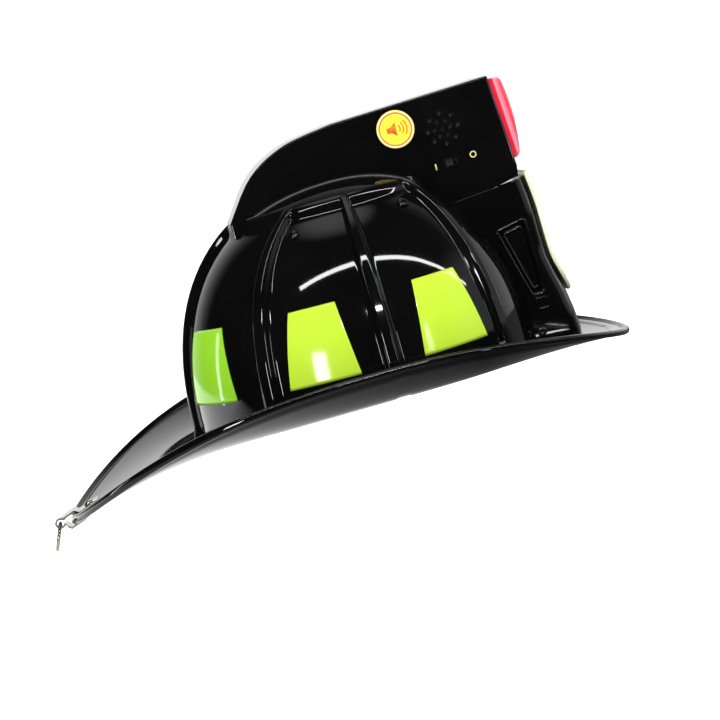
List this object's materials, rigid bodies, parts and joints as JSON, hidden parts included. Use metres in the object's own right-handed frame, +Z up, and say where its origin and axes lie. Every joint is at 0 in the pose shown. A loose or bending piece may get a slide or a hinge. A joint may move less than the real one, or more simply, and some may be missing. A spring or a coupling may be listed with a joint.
{
  "type": "youth firefighter helmet",
  "caption": "Black ribbed fire helmet with a long rear brim, a crown housing with a red front lamp, a front shield and a hanging ring.",
  "frame": {"origin": "centre of the head opening, on the level where the brim leaves the dome at the sides' foot line", "axes": "+X to the wearer's front, +Y to the wearer's left, +Z up out of the crown"},
  "size_m": [0.3644, 0.264, 0.2058],
  "materials": {
    "shell_gloss": "black moulded plastic with a polished surface",
    "crest_gloss": "black moulded plastic, slightly satin",
    "bracket_gloss": "black moulded plastic with a polished surface",
    "black_trim": "black glossy fixings and button",
    "lens_red": "red tinted clear plastic",
    "led_body": "tinted epoxy lamp bodies",
    "reflector_white": "white moulded reflector tray",
    "shield_white": "white plastic with a yellow edge",
    "decal_lime": "smooth lime-yellow film",
    "button_yellow": "yellow printed film with an orange ring",
    "switch_black": "black plastic switch parts",
    "inner_grey": "dark grey plastic inside the crest",
    "band_grey": "dark grey flexible plastic band",
    "speaker_cone": "dark paper and plastic cone",
    "board_green": "green circuit board",
    "pad_foam": "black cloth over foam",
    "strap_webbing": "black woven webbing",
    "screw_steel": "plated steel",
    "spring_steel": "bare spring wire",
    "cell_steel": "steel button-cell cans",
    "clip_metal": "plated folded sheet",
    "ring_metal": "plated wire"
  },
  "bodies": {
    "helmet": {"battery_1": "cell_steel", "battery_2": "cell_steel", "battery_3": "cell_steel", "battery_box": "inner_grey", "battery_spring": "spring_steel", "bracket_screw_left": "black_trim", "bracket_screw_right": "black_trim", "brow_pad": "pad_foam", "circuit_board": "board_green", "crest_joint_screw_1": "screw_steel", "crest_joint_screw_2": "screw_steel", "crest_joint_screw_3": "screw_steel", "crest_left_half": "crest_gloss", "crest_mount_screw_1": "screw_steel", "crest_mount_screw_2": "screw_steel", "crest_mount_screw_3": "screw_steel", "crest_mount_screw_4": "screw_steel", "crest_right_half": "crest_gloss", "crown_strap_1": "strap_webbing", "crown_strap_2": "strap_webbing", "dome_rivet_front_left": "black_trim", "dome_rivet_front_right": "black_trim", "dome_rivet_rear_left": "black_trim", "dome_rivet_rear_right": "black_trim", "front_bracket": "bracket_gloss", "front_shield": "shield_white", "headband": "band_grey", "lamp_reflector": "reflector_white", "led_1": "led_body", "led_2": "led_body", "led_3": "led_body", "power_switch_body": "inner_grey", "reflective_left_front": "decal_lime", "reflective_left_middle": "decal_lime", "reflective_left_rear": "decal_lime", "reflective_right_front": "decal_lime", "reflective_right_middle": "decal_lime", "reflective_right_rear": "decal_lime", "shell": "shell_gloss", "shield_screw_1": "screw_steel", "shield_screw_2": "screw_steel", "siren_lens": "lens_red", "speaker": "speaker_cone", "speaker_ring": "inner_grey", "strap_stud_front_left": "screw_steel", "strap_stud_front_right": "screw_steel", "strap_stud_rear_left": "screw_steel", "strap_stud_rear_right": "screw_steel", "tact_switch": "switch_black", "tail_clip": "clip_metal", "tail_rivet": "clip_metal"},
    "tail_ring": {"tail_ring": "ring_metal"},
    "power_switch": {"power_switch_slider": "switch_black"},
    "sound_button": {"sound_button": "black_trim", "button_label": "button_yellow"},
    "battery_door": {"battery_door": "crest_gloss", "battery_door_screw": "screw_steel"},
    "nape_band": {"nape_band": "band_grey"}
  },
  "joints": [
    {"name": "ring_swing", "type": "hinge", "parent": "helmet", "child": "tail_ring", "pos_m": [-0.20938, 0, -0.02756], "axis": [0, 1, 0], "range_deg": [-60, 110]},
    {"name": "switch_slide", "type": "slide", "parent": "helmet", "child": "power_switch", "axis": [-0.9983, 0.0577, 0], "range_m": [0, 0.004]},
    {"name": "button_press", "type": "slide", "parent": "helmet", "child": "sound_button", "axis": [0.0577, 0.9983, 0], "range_m": [0, 0.0015], "stiffness_N_per_m": 800, "springref_m": -0.0008},
    {"name": "door_pull", "type": "slide", "parent": "helmet", "child": "battery_door", "axis": [-0.0577, 0.9983, 0], "range_m": [0, 0.014]},
    {"name": "nape_slide", "type": "slide", "parent": "helmet", "child": "nape_band", "axis": [1, 0, 0], "range_m": [0, 0.012]}
  ]
}
